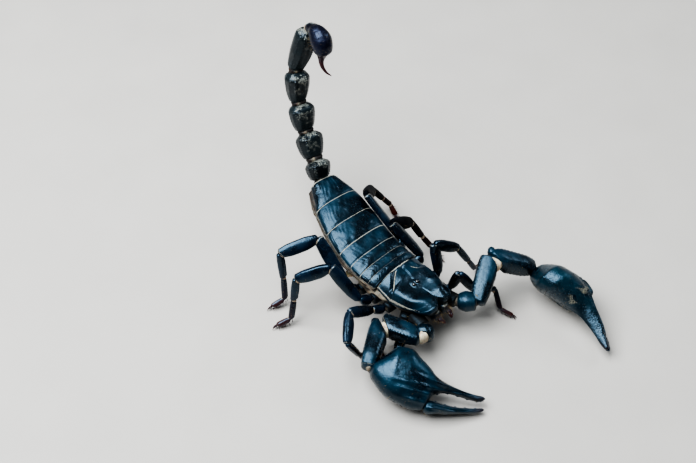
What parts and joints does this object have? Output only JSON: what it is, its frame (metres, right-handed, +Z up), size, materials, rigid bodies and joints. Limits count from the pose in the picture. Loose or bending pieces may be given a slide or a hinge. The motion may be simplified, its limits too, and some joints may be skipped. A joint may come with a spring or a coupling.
{
  "type": "scorpion",
  "caption": "Large blue-black forest scorpion standing with broad claws spread and its jointed tail raised, sting hooked forward.",
  "frame": {"origin": "on the ground, under the middle of the whole animal's box", "axes": "-Y is where the head looks, +X is the animal's left, +Z is up"},
  "size_m": [0.0598, 0.0997, 0.059],
  "materials": {
    "shell": "very smooth blue-black chitin with a soft pale reflection",
    "hand_shell": "blue-black chitin, glossy on the right hand and finely grained on the left",
    "tail_shell": "rough green-black grained chitin",
    "telson_shell": "purple-black glossy chitin with a dark red-brown sting",
    "leg_shell": "navy-black chitin, red-brown towards the claws",
    "belly": "dark brown-grey coxae and sternum",
    "comb": "tan comb teeth",
    "eye": "wet black"
  },
  "bodies": {
    "root": {"carapace": "shell", "eye_left": "eye", "eye_right": "eye", "sternum": "belly", "mesosoma_1": "shell", "mesosoma_2": "shell", "mesosoma_3": "shell", "mesosoma_4": "shell", "mesosoma_5": "shell", "mesosoma_6": "shell", "mesosoma_7": "shell", "metasoma_1": "tail_shell", "metasoma_2": "tail_shell", "metasoma_3": "tail_shell", "metasoma_4": "tail_shell", "metasoma_5": "tail_shell", "telson": "telson_shell", "chelicera_left": "shell", "coxae_left": "belly", "pectine_left": "comb", "pedipalp_left_coxa": "belly", "pedipalp_left_trochanter": "shell", "pedipalp_left_femur": "shell", "pedipalp_left_patella": "shell", "pedipalp_left_hand": "hand_shell", "pedipalp_left_finger": "hand_shell", "leg_1_left_femur": "leg_shell", "leg_1_left_patella": "leg_shell", "leg_1_left_foot": "leg_shell", "leg_2_left_femur": "leg_shell", "leg_2_left_patella": "leg_shell", "leg_2_left_foot": "leg_shell", "leg_3_left_femur": "leg_shell", "leg_3_left_patella": "leg_shell", "leg_3_left_foot": "leg_shell", "leg_4_left_femur": "leg_shell", "leg_4_left_patella": "leg_shell", "leg_4_left_foot": "leg_shell", "chelicera_right": "shell", "coxae_right": "belly", "pectine_right": "comb", "pedipalp_right_coxa": "belly", "pedipalp_right_trochanter": "shell", "pedipalp_right_femur": "shell", "pedipalp_right_patella": "shell", "pedipalp_right_hand": "hand_shell", "pedipalp_right_finger": "hand_shell", "leg_1_right_femur": "leg_shell", "leg_1_right_patella": "leg_shell", "leg_1_right_foot": "leg_shell", "leg_2_right_femur": "leg_shell", "leg_2_right_patella": "leg_shell", "leg_2_right_foot": "leg_shell", "leg_3_right_femur": "leg_shell", "leg_3_right_patella": "leg_shell", "leg_3_right_foot": "leg_shell", "leg_4_right_femur": "leg_shell", "leg_4_right_patella": "leg_shell", "leg_4_right_foot": "leg_shell"}
  },
  "joints": []
}
